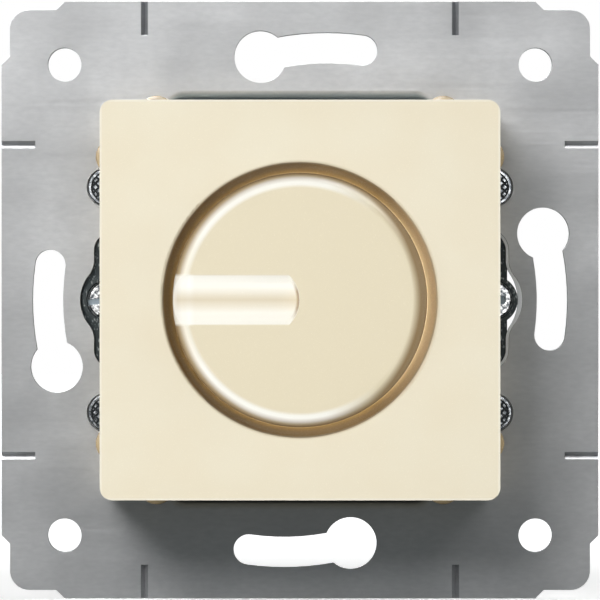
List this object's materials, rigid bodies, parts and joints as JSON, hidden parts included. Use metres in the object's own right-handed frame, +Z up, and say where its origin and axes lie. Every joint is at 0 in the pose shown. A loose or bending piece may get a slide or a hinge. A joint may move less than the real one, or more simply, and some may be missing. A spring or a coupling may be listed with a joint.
{
  "type": "rotary dimmer mechanism",
  "caption": "Flush wall rotary dimmer insert: square steel mounting frame, ivory cover with a round grooved push knob, dark rear housing with screw claws and terminals.",
  "frame": {"origin": "on the knob's axis, in the wall plane at the back of the steel mounting frame, at the centre of the corner hole pattern", "axes": "+Z up on the wall, +X to the right seen from the room, the front faces -Y and the rear housing goes into the wall along +Y"},
  "size_m": [0.071, 0.0387, 0.071],
  "materials": {
    "frame_steel": "zinc plated sheet, satin",
    "ivory_plastic": "moulded, half gloss",
    "slate_plastic": "moulded, matt",
    "terminal_plastic": "moulded, matt",
    "zinc_steel": "bright zinc",
    "spring_steel": "drawn wire",
    "contact_brass": "stamped",
    "shaft_nylon": "moulded",
    "black_plastic": "moulded",
    "phenolic": "pressed paper",
    "board_laminate": "solder mask",
    "sink_aluminium": "mill finish",
    "ferrite": "sintered",
    "copper_wire": "lacquered winding",
    "film_box": "moulded box",
    "resistor_lacquer": "lacquered",
    "diode_glass": "lacquered",
    "fuse_glass": "clear tube"
  },
  "bodies": {
    "base": {"mounting_frame": "frame_steel", "deck_rivets": "zinc_steel", "front_deck": "slate_plastic", "rear_housing": "slate_plastic", "cover_plate": "ivory_plastic", "pot_case": "zinc_steel", "pot_wafer": "phenolic", "pot_tags": "contact_brass", "switch_case": "black_plastic", "switch_spring": "spring_steel", "switch_tags": "contact_brass", "circuit_board": "board_laminate", "triac": "black_plastic", "heat_sink": "sink_aluminium", "triac_screw": "zinc_steel", "triac_nut": "zinc_steel", "choke_core": "ferrite", "choke_winding": "copper_wire", "film_capacitor": "film_box", "resistors": "resistor_lacquer", "trigger_diode": "diode_glass", "fuse_tube": "fuse_glass", "fuse_caps": "zinc_steel", "fuse_clips": "contact_brass", "terminal_bodies": "terminal_plastic", "terminal_clamps": "contact_brass", "terminal_screws": "zinc_steel", "claw_pins": "zinc_steel"},
    "plunger": {"switch_slider": "shaft_nylon"},
    "dial": {"knob": "ivory_plastic", "control_shaft": "shaft_nylon", "hub_ring": "spring_steel"},
    "wiper": {"wiper_rotor": "black_plastic", "wiper_leaf": "contact_brass"},
    "left_screw": {"left_claw_screw": "zinc_steel"},
    "right_screw": {"right_claw_screw": "zinc_steel"},
    "left_arm": {"left_claw": "zinc_steel"},
    "right_arm": {"right_claw": "zinc_steel"}
  },
  "joints": [
    {"name": "knob_press", "type": "slide", "parent": "base", "child": "plunger", "axis": [0, 1, 0], "range_m": [0, 0.0015], "stiffness_N_per_m": 900, "springref_m": -0.002, "deforming": ["switch_spring"]},
    {"name": "knob_turn", "type": "hinge", "parent": "plunger", "child": "dial", "pos_m": [0, 0, 0], "axis": [0, 1, 0], "range_deg": [-45, 225]},
    {"name": "wiper_turn", "type": "hinge", "parent": "base", "child": "wiper", "pos_m": [0, 0, 0], "axis": [0, 1, 0], "range_deg": [-45, 225]},
    {"name": "left_screw_turn", "type": "hinge", "parent": "base", "child": "left_screw", "pos_m": [-0.023, 0, 0], "axis": [0, 1, 0], "range_deg": [0, 1410]},
    {"name": "right_screw_turn", "type": "hinge", "parent": "base", "child": "right_screw", "pos_m": [0.023, 0, 0], "axis": [0, 1, 0], "range_deg": [0, 1410]},
    {"name": "left_claw_swing", "type": "hinge", "parent": "base", "child": "left_arm", "pos_m": [-0.0186, 0.0082, 0], "axis": [0, 0, 1], "range_deg": [0, 24]},
    {"name": "right_claw_swing", "type": "hinge", "parent": "base", "child": "right_arm", "pos_m": [0.0186, 0.0082, 0], "axis": [0, 0, -1], "range_deg": [0, 24]}
  ],
  "couplings": [
    {"joint": "wiper_turn", "follows": "knob_turn", "ratio": 1},
    {"joint": "left_claw_swing", "follows": "left_screw_turn", "ratio": 0.017021},
    {"joint": "right_claw_swing", "follows": "right_screw_turn", "ratio": 0.017021}
  ]
}
